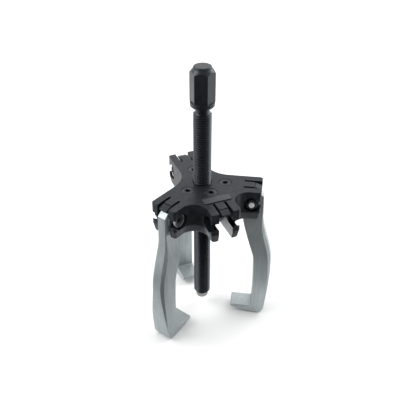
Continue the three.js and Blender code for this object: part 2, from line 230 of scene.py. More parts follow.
def box(low, high):
    (x0, y0, z0), (x1, y1, z1) = low, high
    return prism([(x0, y0), (x1, y0), (x1, y1), (x0, y1)], z0, z1)


def turned(outline, facets=FINE):
    """A piece turned about Z from its (radius, height) outline, given from the bottom up."""
    turns = [TAU * i / facets for i in range(facets)]
    rings = [[(radius * math.cos(a), radius * math.sin(a), z) for a in turns] for radius, z in outline]
    return new_object("turned", skin(rings))


def hexagon(across_flats, low, high):
    reach = across_flats / math.sqrt(3)
    corners = [math.radians(60 * i + 30) for i in range(6)]
    return prism([(reach * math.cos(a), reach * math.sin(a)) for a in corners], low, high)


def arc(cx, cy, radius, start, end, steps):
    turns = [start + (end - start) * i / steps for i in range(steps + 1)]
    return [(cx + radius * math.cos(a), cy + radius * math.sin(a)) for a in turns]


def moved(obj, matrix):
    obj.data.transform(matrix)
    obj.data.update()
    return obj


def turn_z(obj, degrees):
    return moved(obj, Matrix.Rotation(math.radians(degrees), 4, "Z"))


def on_pivot(obj):
    """Lays a piece made about Z along the pivot, its +Z on the arm's anticlockwise side."""
    lie = Matrix.Rotation(math.radians(-90), 4, "X")
    return moved(obj, Matrix.Translation((PIVOT_OUT, 0, PIVOT_Z)) @ lie)


def settle(obj):
    """Makes the object's modifiers part of its mesh."""
    graph = bpy.context.evaluated_depsgraph_get()
    made = bpy.data.meshes.new_from_object(obj.evaluated_get(graph))
    old = obj.data
    obj.modifiers.clear()
    obj.data = made
    bpy.data.meshes.remove(old)
    return obj


def combine(obj, tool, operation):
    modifier = obj.modifiers.new("boolean", "BOOLEAN")
    modifier.operation = operation
    modifier.solver = "MANIFOLD"
    modifier.object = tool
    settle(obj)
    mesh = tool.data
    bpy.data.objects.remove(tool)
    bpy.data.meshes.remove(mesh)
    return obj


def cut(obj, *tools):
    for tool in tools:
        combine(obj, tool, "DIFFERENCE")
    return obj


def join(obj, *tools):
    for tool in tools:
        combine(obj, tool, "UNION")
    return obj


def tidy(obj, merge=0.03):
    """Welds near points and dissolves the flat seams that cutting leaves."""
    bm = bmesh.new()
    bm.from_mesh(obj.data)
    bmesh.ops.remove_doubles(bm, verts=bm.verts, dist=merge)
    bmesh.ops.dissolve_limit(bm, angle_limit=math.radians(1), verts=bm.verts, edges=bm.edges)
    bmesh.ops.dissolve_degenerate(bm, edges=bm.edges, dist=merge)
    bm.to_mesh(obj.data)
    bm.free()
    return obj


def soften(obj, width, segments=2, angle=30, clamp=False):
    """Rounds the edges that are sharper than the angle."""
    bevel = obj.modifiers.new("bevel", "BEVEL")
    bevel.width = width
    bevel.segments = segments
    bevel.limit_method = "ANGLE"
    bevel.angle_limit = math.radians(angle)
    bevel.use_clamp_overlap = clamp
    bevel.miter_outer = "MITER_ARC"
    return settle(obj)


def shade(obj, angle=38):
    """Smooth shading that keeps sharp edges and flat faces."""
    for polygon in obj.data.polygons:
        polygon.use_smooth = True
    obj.data.set_sharp_from_angle(angle=math.radians(angle))
    weigh = obj.modifiers.new("weigh", "WEIGHTED_NORMAL")
    weigh.keep_sharp = True
    return settle(obj)


def mark_edges(obj):
    """Stores how strongly each point lies on an outward edge, which the materials wear bright."""
    bm = bmesh.new()
    bm.from_mesh(obj.data)
    worn = []
    for vert in bm.verts:
        angles = [e.calc_face_angle_signed(0.0) for e in vert.link_edges if len(e.link_faces) == 2]
        worn.append(min(1.0, max([0.0, *angles]) / math.radians(WORN_ANGLE)))
    bm.free()
    attribute = obj.data.attributes.new("edge_wear", "FLOAT", "POINT")
    attribute.data.foreach_set("value", worn)


def piece(obj, name, body, node, slot, *materials):
    """Finishes a piece: metres, name, materials, the body that it rides on and the node it stands for."""
    obj.name = name
    obj.data.name = name
    moved(obj, Matrix.Scale(MM, 4))
    mark_edges(obj)
    slots = [polygon.material_index for polygon in obj.data.polygons]
    obj.data.materials.clear()
    for material in materials:
        obj.data.materials.append(material)
    obj.data.polygons.foreach_set("material_index", slots)
    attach(obj, body)
    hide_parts(node)
    return obj


# ---------- materials ----------
class Surface:
    """A node material under construction: a Principled shader and a few helpers."""

    def __init__(self, name, metallic=0.0, specular=0.5):
        self.material = bpy.data.materials.new(name)
        self.material.use_nodes = True
        self.tree = self.material.node_tree
        self.shader = self.tree.nodes["Principled BSDF"]
        self.shader.inputs["Metallic"].default_value = metallic
        self.shader.inputs["Specular IOR Level"].default_value = specular
        self.place = self.node("ShaderNodeTexCoord").outputs["Object"]
        self.height = None

    def node(self, kind, **values):
        made = self.tree.nodes.new(kind)
        for key, value in values.items():
            setattr(made, key, value)
        return made

    def link(self, source, target):
        self.tree.links.new(source, target)

    def noise(self, scale, detail=4.0, roughness=0.55, stretch=(1, 1, 1)):
        mapping = self.node("ShaderNodeMapping")
        mapping.inputs["Scale"].default_value = stretch
        self.link(self.place, mapping.inputs["Vector"])
        texture = self.node("ShaderNodeTexNoise")
        texture.inputs["Scale"].default_value = scale
        texture.inputs["Detail"].default_value = detail
        texture.inputs["Roughness"].default_value = roughness
        self.link(mapping.outputs["Vector"], texture.inputs["Vector"])
        return texture.outputs["Fac"]

    def spread(self, source, low, high, to_low, to_high):
        made = self.node("ShaderNodeMapRange")
        for key, value in zip(("From Min", "From Max", "To Min", "To Max"), (low, high, to_low, to_high)):
            made.inputs[key].default_value = value
        self.link(source, made.inputs["Value"])
        return made.outputs["Result"]

    def times(self, a, b):
        made = self.node("ShaderNodeMath", operation="MULTIPLY")
        self.link(a, made.inputs[0])
        self.link(b, made.inputs[1])
        return made.outputs["Value"]

    def blend(self, factor, dark, light):
        """Mixes two colours, each a colour or an output."""
        made = self.node("ShaderNodeMix", data_type="RGBA")
        self.link(factor, made.inputs["Factor"])
        for socket, value in ((made.inputs[6], dark), (made.inputs[7], light)):
            if isinstance(value, tuple):
                socket.default_value = (*value, 1)
            else:
                self.link(value, socket)
        return made.outputs[2]

    def colour(self, source):
        self.link(source, self.shader.inputs["Base Color"])

    def roughness(self, source):
        self.link(source, self.shader.inputs["Roughness"])

    def bump(self, source, distance, strength=1.0):
        made = self.node("ShaderNodeBump")
        made.inputs["Distance"].default_value = distance
        made.inputs["Strength"].default_value = strength
        self.link(source, made.inputs["Height"])
        if self.height:
            self.link(self.height, made.inputs["Normal"])
        self.height = made.outputs["Normal"]
        self.link(self.height, self.shader.inputs["Normal"])

    def wear(self):
        attribute = self.node("ShaderNodeAttribute", attribute_name="edge_wear")
        return attribute.outputs["Fac"]


def coated(name, dark, light, bright, gloss, skin_scale, metallic=0.0, specular=0.5, worn=0.3, skin=0.35):
    """Dark coated steel with a cool sheen, cloudy colour, uneven gloss and rubbed edges."""
    made = Surface(name, metallic, specular)
    made.shader.inputs["Specular Tint"].default_value = (0.82, 0.91, 1.0, 1)
    clouds = made.spread(made.noise(70, 6), 0.35, 0.65, 0, 1)
    base = made.blend(clouds, dark, light)
    rubbed = made.times(made.wear(), made.spread(made.noise(260, 5), 0.4, 0.7, 0.1 * worn, worn))
    made.colour(made.blend(rubbed, base, bright))
    made.roughness(made.spread(made.noise(160, 6, 0.6), 0.25, 0.75, gloss - 0.05, gloss + 0.07))
    made.bump(made.noise(skin_scale, 3, 0.6), 0.00002, skin)
    made.bump(made.noise(110, 2), 0.0001, 0.1)
    return made.material


def blasted(name, dark, light, gloss):
    """Bare forged steel, blasted and tumbled: fine pits, vertical drawn grain and brighter edges."""
    made = Surface(name, 0.72)
    clouds = made.spread(made.noise(30, 5, 0.5, (1, 1, 0.4)), 0.35, 0.65, 0, 1)
    grain = made.spread(made.noise(420, 4, 0.6, (1, 1, 0.05)), 0.35, 0.65, 0, 1)
    base = made.blend(clouds, dark, light)
    streaked = made.blend(made.spread(grain, 0, 1, 0, 0.5), base, tuple(c * 0.74 for c in dark))
    rubbed = made.times(made.wear(), made.spread(made.noise(300, 5), 0.35, 0.65, 0.1, 0.4))
    made.colour(made.blend(rubbed, streaked, (0.55, 0.575, 0.575)))
    made.roughness(made.spread(made.noise(240, 5, 0.6), 0.3, 0.7, gloss - 0.05, gloss + 0.08))
    made.bump(made.noise(1500, 3, 0.7), 0.00003, 0.4)
    made.bump(made.noise(420, 3, 0.6, (1, 1, 0.05)), 0.00004, 0.3)
    return made.material


def bright(name, dark, light, gloss, metallic=1.0):
    """Zinc-plated or ground steel with a faint turned grain."""
    made = Surface(name, metallic)
    made.colour(made.blend(made.spread(made.noise(200, 4), 0.3, 0.7, 0, 1), dark, light))
    made.roughness(made.spread(made.noise(500, 5), 0.3, 0.7, gloss - 0.06, gloss + 0.1))
    made.bump(made.noise(1800, 2, 0.6, (1, 1, 3)), 0.00002, 0.4)
    return made.material


def milled(name, dark, light, gloss):
    """The bare milled inside of a fork: steep cutter marks, and painted shade that turns it black above the
    hook, where the upper jaw shades it.
    """
    made = Surface(name, 0.6)
    height = made.node("ShaderNodeSeparateXYZ")
    made.link(made.place, height.inputs[0])
    above = made.spread(height.outputs["Z"], (PIVOT_Z - 4) * MM, (PIVOT_Z - 2) * MM, 0, 1)
    marks = made.noise(700, 3, 0.5, (1, 1, 0.12))
    bare = made.blend(made.spread(marks, 0.35, 0.65, 0, 1), dark, light)
    # Painted shade: above the hook the inside turns black, standing in for the upper jaw's shadow.
    made.colour(made.blend(above, bare, (0.009, 0.011, 0.013)))
    made.roughness(made.spread(made.noise(500, 5), 0.3, 0.7, gloss - 0.06, gloss + 0.1))
    made.bump(marks, 0.00003, 0.4)
    return made.material


FORGED = coated("forged_black", (0.0058, 0.0074, 0.009), (0.0095, 0.0115, 0.0138), (0.09, 0.095, 0.10),
                gloss=0.36, skin_scale=1800, specular=0.36, worn=0.22)
# Painted reflection: a lighter black for the drafted low band, standing in for the white floor that its
# down-leaning faces reflect.
FLOOR_REFLECTION_BLACK = coated("draft_band_painted_reflection", (0.030, 0.033, 0.036), (0.052, 0.056, 0.060), (0.14, 0.145, 0.15),
                 gloss=0.42, skin_scale=1500, specular=0.36, worn=0.3)
OXIDE = coated("spindle_black", (0.0045, 0.0055, 0.008), (0.0068, 0.008, 0.0112), (0.10, 0.105, 0.11),
               gloss=0.30, skin_scale=2400, specular=0.5, worn=0.05, skin=0.12)
FASTENER = coated("black_oxide", (0.008, 0.009, 0.010), (0.015, 0.016, 0.018), (0.16, 0.165, 0.17),
                  gloss=0.36, skin_scale=2600, metallic=0.3, worn=0.4)
LEG = blasted("leg_grey", (0.375, 0.415, 0.424), (0.465, 0.510, 0.520), 0.42)
ZINC = bright("zinc_steel", (0.50, 0.51, 0.52), (0.66, 0.67, 0.68), 0.32, 0.85)
# Painted highlight: the bare thread end is a near-white, mostly non-metal grey that looks bright from any
# side, standing in for its glint.
BARE_END_GLINT = bright("bare_thread_end_painted_glint", (0.72, 0.73, 0.74), (0.85, 0.86, 0.87), 0.4, 0.3)
# Bare milled steel for the forks' insides, with painted shade above the hook.
MILLED_WITH_SHADE = milled("milled_steel_painted_shade", (0.30, 0.31, 0.31), (0.46, 0.47, 0.47), 0.42)
TIP = bright("ground_tip", (0.26, 0.265, 0.27), (0.36, 0.365, 0.37), 0.34)
LABEL = coated("label_grey", (0.026, 0.029, 0.029), (0.038, 0.041, 0.041), (0.1, 0.1, 0.1),
               gloss=0.42, skin_scale=1800)


# ---------- crosshead ----------
def polar(reach, across, degrees):
    """A point on the arm at this heading: how far out, and how far across to its anticlockwise side."""
    angle = math.radians(degrees)
    x = reach * math.cos(angle) - across * math.sin(angle)
    y = reach * math.sin(angle) + across * math.cos(angle)
    return (x, y)


def plan_outline(inset):
    """The crosshead from above: four arm ends with eased corners, and the hollow arcs between them."""
    half, tip = ARM_HALF - inset, ARM_TIP - inset
    points = []
    for i, degrees in enumerate(ARM_ANGLES):
        for side in (-1, 1):
            start = math.radians(-90 if side < 0 else 0)
            end = math.radians(0 if side < 0 else 90)
            corner = arc(tip - CORNER_R, side * (half - CORNER_R), CORNER_R, start, end, 4)
            points += [polar(x, y, degrees) for x, y in corner]
        after = ARM_ANGLES[(i + 1) % 4] + (360 if i == 3 else 0)
        spread = math.radians(after - degrees) / 2
        lean = math.sin(spread)
        radius = inset + (WAIST_WIDE if after - degrees > 90 else WAIST_NARROW)
        reach = (half + radius) / lean
        middle = math.radians(degrees) + spread
        start = math.radians(degrees) - math.pi / 2
        points += arc(reach * math.cos(middle), reach * math.sin(middle), radius, start,
                      start - (math.pi - 2 * spread), 28)
    return points


def arm_cuts():
    """What is cut out of the arm that points along +X."""
    past, under = ARM_TIP + 3, -HEAD_THICK - 1
    fork = plate([(FORK_END, -TONGUE_THICK), (FORK_END, -FORK_KNEE), (FORK_FOOT, under), (past, under),
                  (past, -TONGUE_THICK)], FORK_HALF)
    slots = [box((SLOT_START, min(side * TONGUE_HALF, side * FORK_HALF), HEAD_TOP - TONGUE_THICK - 1),
                 (past, max(side * TONGUE_HALF, side * FORK_HALF), HEAD_TOP + 1)) for side in (-1, 1)]
    step_end = STEP_AT + STEP_WIDE
    step = plate([(STEP_AT, 1), (STEP_AT, -STEP_DEEP), (step_end, -STEP_DEEP), (step_end, -STEP_LOW),
                  (ARM_TIP, -TONGUE_DROP), (past, -TONGUE_DROP), (past, 1)], (TONGUE_HALF + FORK_HALF) / 2)
    low = PIVOT_Z - HEAD_TOP
    hook = plate([*arc(PIVOT_OUT, low, NOTCH_HALF, math.pi / 2, 1.5 * math.pi, 24),
                  (past, low - NOTCH_HALF), (past, low + NOTCH_HALF)], ARM_HALF + 1)
    finger = plate([(ARM_TIP, -FINGER_SLOPE_AT), (FINGER_END, -HEAD_THICK), (FINGER_END, under),
                    (past, under), (past, -FINGER_SLOPE_AT)], ARM_HALF + 1)
    sinks = []
    for flip in (0, 180):
        sink = turned([(SINK_R, SINK_FLOOR), (SINK_R, ARM_HALF + 1)])
        sinks.append(on_pivot(moved(sink, Matrix.Rotation(math.radians(flip), 4, "X"))))
    return [fork, *slots, step, hook, finger, *sinks, hub_screw_shape(FIT_GAP)]


def hub_screw_shape(grow):
    """A countersunk screw's outer form, or with grow above 0 the hole it sits in."""
    top = HEAD_TOP + (1 if grow else -0.2)
    rim = HEAD_TOP - HUB_RIM - grow
    head, shank = HUB_HEAD_R + grow, HUB_SHANK_R + grow
    outline = [(shank, HEAD_TOP - HUB_SCREW_LONG - grow), (shank, rim - (head - shank)),
               (head, rim), (head, top)]
    return moved(turned(outline, MEDIUM), Matrix.Translation((HUB_SCREW_AT, 0, 0)))


def mark_bare(head):
    """Gives the insides of the forks the bare milled surface, black above the hook as painted shade, and the
    drafted low band a lighter black that is a painted reflection of the white floor.
    """
    milled_slot, floor_reflection_slot = 1, 2
    draft_top = HEAD_TOP - HEAD_THICK + DRAFT_HIGH
    for polygon in head.data.polygons:
        # Painted reflection: the down-leaning faces of the drafted low band get the lighter black.
        if polygon.center.z < draft_top and -0.9 < polygon.normal.z < -0.1:
            polygon.material_index = floor_reflection_slot
        for degrees in ARM_ANGLES:
            turn = Matrix.Rotation(math.radians(-degrees), 4, "Z")
            at, normal = turn @ polygon.center, turn @ polygon.normal
            inside = abs(abs(at.y) - FORK_HALF) < 0.05 and at.x > FORK_END - 0.5 and abs(normal.y) > 0.99
            if inside and at.z < HEAD_TOP - TONGUE_THICK - 0.1:
                polygon.material_index = milled_slot


def make_crosshead():
    """The forging with its bore and the four arms' cuts, edges rounded last."""
    low = HEAD_TOP - HEAD_THICK
    levels = [(low, DRAFT_IN + LOW_CHAMFER), (low + LOW_CHAMFER, DRAFT_IN), (low + DRAFT_HIGH, 0),
              (HEAD_TOP, 0)]
    rings = [[(x, y, z) for x, y in plan_outline(inset)] for z, inset in levels]
    head = new_object("crosshead_forging", skin(rings))
    mouth = BORE_MOUTH_R - BORE_R
    cut(head, turned([(BORE_R, HEAD_TOP - HEAD_THICK - 1), (BORE_R, HEAD_TOP - mouth),
                      (BORE_MOUTH_R + 1, HEAD_TOP + 1)]))
    for degrees in ARM_ANGLES:
        cut(head, *(turn_z(tool, degrees) for tool in arm_cuts()))
    tidy(head)
    soften(head, HEAD_EDGE)
    shade(head)
    mark_bare(head)
    return piece(head, "crosshead_forging", "head", "crosshead", "forged_black", FORGED, MILLED_WITH_SHADE,
                 FLOOR_REFLECTION_BLACK)


# ---------- legs ----------
def smooth_line(points, steps):
    """A Catmull-Rom curve through the points."""
    ends = [points[0], *points, points[-1]]
    made = []
    for i in range(1, len(ends) - 2):
        p0, p1, p2, p3 = (Vector(p) for p in ends[i - 1:i + 3])
        for k in range(steps):
            t = k / steps
            made.append(tuple(0.5 * ((2 * p1) + (p2 - p0) * t + (2 * p0 - 5 * p1 + 4 * p2 - p3) * t * t
                                     + (3 * p1 - p0 - 3 * p2 + p3) * t ** 3)))
    return [*made, points[-1]]


# The shank's outer and inner side, as (out, height above the crosshead's top).
BACK = smooth_line([(65.9, -28), (66.4, -44), (70, -60), (74.9, -78), (77.4, -92), (77.85, -104),
                    (77.7, -116), (76.6, -134), (74.9, -151)], 8)
FRONT = smooth_line([(44.3, -28), (44.1, -39), (46.2, -50), (51.2, -68), (55.6, -83), (57.4, -89),
                     (58, -100), (58.6, -120), (58.7, -151)], 8)


def out_at(curve, z):
    """How far out a falling curve lies at one height."""
    i = next(k for k, point in enumerate(curve) if point[1] <= z)
    (x0, z0), (x1, z1) = curve[i - 1], curve[i]
    return x0 + (x1 - x0) * (z - z0) / (z1 - z0)


def ease(z, start, end):
    """0 above the start height, 1 below the end height and smooth between them."""
    t = min(1.0, max(0.0, (start - z) / (start - end)))
    return t * t * (3 - 2 * t)


def widened(z):
    """How far the shank has widened below the eye, from 0 to 1."""
    return ease(z, -34, -66)


def back_station(z):
    """The back of the shank: its place and half width, and those of the point where its chamfer ends."""
    wide, low = widened(z), ease(z, -95, -150)
    out = out_at(BACK, z)
    half = LEG_HALF + BACK_WIDER * wide + (FOOT_HALF - LEG_HALF - BACK_WIDER) * low
    broad = wide * (1 - low)
    return (out, z), half - LEG_EDGE - BACK_CHAMFER * broad, (out - LEG_EDGE - 2.2 * broad, z), half


def front_station(z):
    """The same for the slightly crowned front of the shank."""
    wide = widened(z)
    crown = wide * (1 - ease(z, -125, -148))
    out = out_at(FRONT, z)
    half = LEG_HALF + (FOOT_HALF - LEG_HALF) * wide
    return (out, z), half - LEG_EDGE - FRONT_CHAMFER * crown, (out + LEG_EDGE + 0.5 * crown, z), half


def plain_stations(points, before, after, half):
    """Stations along a clockwise run of the outline, with an even chamfer."""
    line = [before, *points, after]
    made = []
    for i, point in enumerate(points):
        inward = Vector((0, 0))
        for p, q in ((line[i], point), (point, line[i + 2])):
            inward += Vector((q[1] - p[1], p[0] - q[0])).normalized()
        inward *= 2 * LEG_EDGE / inward.length_squared
        made.append((point, half - LEG_EDGE, (point[0] + inward.x, point[1] + inward.y), half))
    return made


def leg_forging():
    """A leg from stations that go clockwise round its side outline, each with its own chamfer."""
    low, top, foot = PIVOT_Z - HEAD_TOP, LEG_TOP - HEAD_TOP, FOOT_TOP - HEAD_TOP
    sole = LEG_BOTTOM - HEAD_TOP
    backs = [back_station(z) for z in LEVELS]
    fronts = [front_station(z) for z in reversed(LEVELS)]
    eye = [*arc(PIVOT_OUT, low, top - low, math.pi, math.pi / 2, 14), (60.2, top), (65.4, -11.3)]
    heel = smooth_line([(73.7, -164), (72.3, -168.2), (69.6, -171), (66.6, sole + 0.15)], 3)
    base = [(65.2, sole), (62.5, sole), (41, -167.4)]
    toe = smooth_line([(36.4, -165.9), (35, -164.8), (34.8, -163.3), (35.9, foot)], 3)
    root = arc(56.4, foot + 2, 2, -math.pi / 2, 0, 5)
    head = plain_stations(eye, fronts[-1][0], backs[0][0], LEG_HALF)
    tail = plain_stations([*heel, *base, *toe, *root], backs[-1][0], fronts[0][0], FOOT_HALF)
    stations = [*head, *backs, *tail, *fronts]
    count = len(stations)
    bm = bmesh.new()
    sides = []
    for side in (1, -1):
        outer = [bm.verts.new((at[0], side * half, HEAD_TOP + at[1])) for at, half, _, _ in stations]
        inner = [bm.verts.new((at[0], side * half, HEAD_TOP + at[1])) for _, _, at, half in stations]
        sides.append((outer, inner))
    first_back, last_back = len(head), len(head) + len(backs) - 1
    for i in range(count):
        j = (i + 1) % count
        bm.faces.new((sides[1][0][i], sides[1][0][j], sides[0][0][j], sides[0][0][i]))
        for outer, inner in sides:
            bm.faces.new((outer[i], outer[j], inner[j], inner[i]))
    for _, inner in sides:
        bm.faces.new((inner[-1], *inner[:first_back + 1]))
        bm.faces.new(inner[last_back:last_back + len(tail) + 2])
        for k in range(len(LEVELS) - 1):
            back, front = first_back + k, count - 1 - k
            bm.faces.new((inner[back], inner[back + 1], inner[front - 1], inner[front]))
    bmesh.ops.recalc_face_normals(bm, faces=bm.faces)
    return new_object("leg", bm)


def make_leg(arm, degrees):
    leg = leg_forging()
    soften(leg, LEG_ROUND, 3, 24, clamp=True)
    inner_r, inner_half = BOSS_R - LEG_ROUND, BOSS_HALF - LEG_ROUND
    join(leg, on_pivot(turned([(inner_r, -BOSS_HALF), (BOSS_R, -inner_half), (BOSS_R, inner_half),
                               (inner_r, BOSS_HALF)])))
    cut(leg, on_pivot(turned([(NOTCH_HALF, -20), (NOTCH_HALF, 20)])))
    shade(leg, 42)
    turn_z(leg, degrees)
    return piece(leg, f"leg_{arm}_forging", f"leg_{arm}", f"leg_{arm}", "leg_grey", LEG)


# ---------- screws, nuts and washers ----------
def thread_rows(low, high, crest, pitch):
    """Rows of a right-hand thread: each is one radius and the height where it starts at angle 0."""
    root, shoulder = crest - THREAD_DEPTH * pitch, crest - 0.04 * pitch
    shape = [(0.0, root), (0.125, root - 0.03 * pitch), (0.25, root), (0.545, shoulder), (0.58, crest),
             (0.67, crest), (0.705, shoulder)]
    turns = math.ceil((high - low) / pitch) + 2
    return [(radius, low - pitch + (turn + part) * pitch) for turn in range(turns) for part, radius in shape]


def threaded(outline_low, outline_high, crest, pitch, facets):
    """A threaded bar between two turned ends, whose outlines are (radius, height) from the bottom up."""
    lead = 1.1  # slope of the chamfer at each end of the thread
    (low_r, low), (high_r, high) = outline_low[-1], outline_high[0]
    bm = bmesh.new()
    columns = []
    for j in range(facets + 1):
        turn = TAU * j / facets
        line = list(outline_low)
        for radius, start in thread_rows(low, high, crest, pitch):
            z = start + pitch * j / facets
            room = min(low_r + (z - low) * lead, high_r + (high - z) * lead)
            line.append((low_r, low) if z <= low else (high_r, high) if z >= high else (min(radius, room), z))
        line += outline_high
        columns.append([bm.verts.new((r * math.cos(turn), r * math.sin(turn), z)) for r, z in line])
    for left, right in zip(columns, columns[1:]):
        for k in range(len(left) - 1):
            bm.faces.new((left[k], right[k], right[k + 1], left[k + 1]))
    bmesh.ops.remove_doubles(bm, verts=bm.verts, dist=2e-4)
    bmesh.ops.dissolve_degenerate(bm, edges=bm.edges, dist=1e-4)
    open_edges = [e for e in bm.edges if len(e.link_faces) == 1]
    bmesh.ops.holes_fill(bm, edges=open_edges, sides=0)
    bmesh.ops.recalc_face_normals(bm, faces=bm.faces)
    return new_object("threaded", bm)


def make_pivot_screw(arm, degrees):
    """A shouldered screw with a low head, black but for the bare end of its thread, which is painted
    near-white as a painted highlight.
    """
    face, reach, neck = SCREW_FACE, SCREW_HEAD_R, THREAD_END_R - NECK_SLIM
    screw = threaded([(THREAD_END_R - 0.9, -SCREW_END), (THREAD_END_R - 0.35, -SCREW_END + 0.25)],
                     [(neck, -SINK_FLOOR - 0.6), (neck, -SINK_FLOOR), (SHOULDER_R - 0.3, -SINK_FLOOR),
                      (SHOULDER_R, -SINK_FLOOR + 0.3), (SHOULDER_R, SCREW_HEAD_AT), (reach, SCREW_HEAD_AT),
                      (reach, face - 0.15), (reach - 0.2, face)],
                     THREAD_END_R, SMALL_PITCH, MEDIUM)
    mouth = SCREW_SOCKET_AF * 0.45
    socket = hexagon(SCREW_SOCKET_AF, face - SCREW_SOCKET_DEEP, face + 1)
    cut(screw, socket, turned([(mouth, face - 0.6), (mouth + 1.6, face + 1)]))
    cut(screw, turned([(1.1, -SCREW_END - 1), (1.1, -SCREW_END), (0.3, -SCREW_END + 0.8)]))
    shade(screw)
    # Painted highlight: the bare end of the thread gets the near-white material.
    for polygon in screw.data.polygons:
        polygon.material_index = 1 if polygon.center.z < GLINT_BELOW else 0
    turn_z(on_pivot(screw), degrees)
    return piece(screw, f"pivot_screw_{arm}_shouldered", "head", f"pivot_screw_{arm}", "black_oxide",
                 FASTENER, BARE_END_GLINT)


def make_pivot_nut(arm, degrees):
    low, high = -NUT_AT - NUT_H, -NUT_AT
    nut = hexagon(NUT_AF, low, high)
    flat, corner = NUT_AF / 2 - 0.1, NUT_AF / math.sqrt(3)
    rise = (corner - flat) * 0.55
    blank = turned([(flat, low), (corner, low + rise), (corner, high - rise), (flat, high)])
    combine(nut, blank, "INTERSECT")
    bore = THREAD_END_R + FIT_GAP
    cut(nut, turned([(bore, low - 1), (bore, high + 1)]))
    tidy(nut)
    soften(nut, NUT_EDGE)
    shade(nut)
    turn_z(on_pivot(nut), degrees)
    return piece(nut, f"pivot_nut_{arm}_m6", "head", f"pivot_nut_{arm}", "black_oxide", FASTENER)


def ring_of(section):
    """A ring about Z from a closed (radius, height) section."""
    bm = bmesh.new()
    rows = []
    for i in range(FINE):
        turn = TAU * i / FINE
        rows.append([bm.verts.new((r * math.cos(turn), r * math.sin(turn), z)) for r, z in section])
    for i, row in enumerate(rows):
        after = rows[(i + 1) % FINE]
        for k in range(len(section)):
            m = (k + 1) % len(section)
            bm.faces.new((row[k], after[k], after[m], row[m]))
    bmesh.ops.recalc_face_normals(bm, faces=bm.faces)
    return new_object("ring", bm)


def make_washers(arm, degrees):
    """The cup washer round the screw's head, and the flat one under the nut."""
    base, rim, inner = WASHER_AT + CUP_BASE, WASHER_AT + CUP_HIGH, WASHER_R - CUP_WALL
    cup = [(NOTCH_HALF, WASHER_AT), (WASHER_R - 0.3, WASHER_AT), (WASHER_R, WASHER_AT + 0.3),
           (WASHER_R, rim - 0.2), (WASHER_R - 0.2, rim), (inner + 0.2, rim), (inner, rim - 0.2),
           (inner, base + 0.3), (inner - 0.3, base), (NOTCH_HALF, base)]
    low, high = -WASHER_AT - WASHER_THICK, -WASHER_AT
    bore = THREAD_END_R + FIT_GAP
    flat = [(bore, low), (WASHER_R - 0.2, low), (WASHER_R, low + 0.2), (WASHER_R, high - 0.2),
            (WASHER_R - 0.2, high), (bore, high)]
    kinds = (("screw", cup, "zinc_steel", ZINC), ("nut", flat, "black_oxide", FASTENER))
    for kind, section, slot, material in kinds:
        washer = ring_of(section)
        shade(washer, 30)
        turn_z(on_pivot(washer), degrees)
        piece(washer, f"{kind}_washer_{arm}_ring", "head", f"{kind}_washer_{arm}", slot, material)


def make_hub_screw(arm, degrees):
    screw = hub_screw_shape(0)
    at = Matrix.Translation((HUB_SCREW_AT, 0, 0))
    cut(screw, moved(hexagon(HUB_SOCKET_AF, HEAD_TOP - HUB_SOCKET_DEEP, HEAD_TOP + 1), at))
    tidy(screw)
    soften(screw, HUB_EDGE)
    shade(screw)
    turn_z(screw, degrees)
    return piece(screw, f"hub_screw_{arm}_m6", "head", f"hub_screw_{arm}", "black_oxide", FASTENER)


# ---------- spindle and tip ----------
def make_spindle():
    """The threaded bar, its hex head with a turned cap, and the hole for the tip."""
    bar = threaded([(7.2, SPINDLE_END), (7.5, SPINDLE_END + 0.3)],
                   [(NECK_R, THREAD_TOP + 1.6), (NECK_R, HEX_BOTTOM + 1)], CREST_R, PITCH, VERY_FINE)
    corner = HEX_AF / math.sqrt(3) - 0.1
    head = hexagon(HEX_AF, COLLAR_TOP - 2, HEX_TOP + 4)
    rounded = turned([(COLLAR_R - 0.4, COLLAR_TOP - 1), (corner, COLLAR_TOP + 0.6), (corner, HEX_TOP - 1.4),
                      (CAP_R + 0.2, HEX_TOP + 3), (CAP_R - 1, HEX_TOP + 3.2)], VERY_FINE)
    combine(head, rounded, "INTERSECT")
    collar = turned([(NECK_R, HEX_BOTTOM - 1), (NECK_R, HEX_BOTTOM), (9.8, HEX_BOTTOM + 0.4),
                     (COLLAR_R - 0.2, HEX_BOTTOM + 2.8), (COLLAR_R, HEX_BOTTOM + 3.4), (COLLAR_R, COLLAR_TOP)],
                    VERY_FINE)
    cap = turned([(CAP_R, HEX_TOP), (CAP_R, SPINDLE_TOP - CAP_CHAMFER), (CAP_R - 0.35, SPINDLE_TOP - 0.45),
                  (CAP_R - 1.2, SPINDLE_TOP)], VERY_FINE)
    join(head, collar, cap)
    tidy(head, 0.02)
    soften(head, HEX_EDGE, 2, 22)
    join(bar, head)
    cut(bar, turned([(SOCKET_R, SPINDLE_END - 1), (SOCKET_R, SPINDLE_END + SOCKET_DEEP)]))
    shade(bar, 40)
    return piece(bar, "spindle_m18", "screw", "spindle", "spindle_black", OXIDE)


def make_tip():
    end, groove = SPINDLE_END, STEM_R - RING_DEEP
    tip = turned([(5.2, 0), (5.9, 0.25), (TIP_R - 0.25, 1.1), (TIP_R, 1.7), (TIP_R, end - 0.7),
                  (TIP_R - 0.4, end - FIT_GAP), (STEM_R, end - FIT_GAP), (STEM_R, end + RING_LOW),
                  (groove, end + RING_LOW), (groove, end + RING_HIGH), (STEM_R, end + RING_HIGH),
                  (STEM_R, end + STEM_LONG - 0.4), (STEM_R - 0.4, end + STEM_LONG)])
    shade(tip)
    return piece(tip, "pressure_tip", "tip", "spindle_tip", "zinc_steel", TIP)


def make_label():
    strip = box(LABEL_LOW, LABEL_HIGH)
    soften(strip, LABEL_EDGE)
    shade(strip)
    return piece(strip, "blank_label_strip", "head", "label_strip", "label_grey", LABEL)


def dress_inner_nodes():
    """The ball and snap ring stay as the CAD made them, with finished steel on them."""
    for node, material in (("thrust_ball", ZINC), ("tip_snap_ring", FASTENER)):
        mesh = frame["nodes"][node].data
        mesh.materials.clear()
        mesh.materials.append(material)


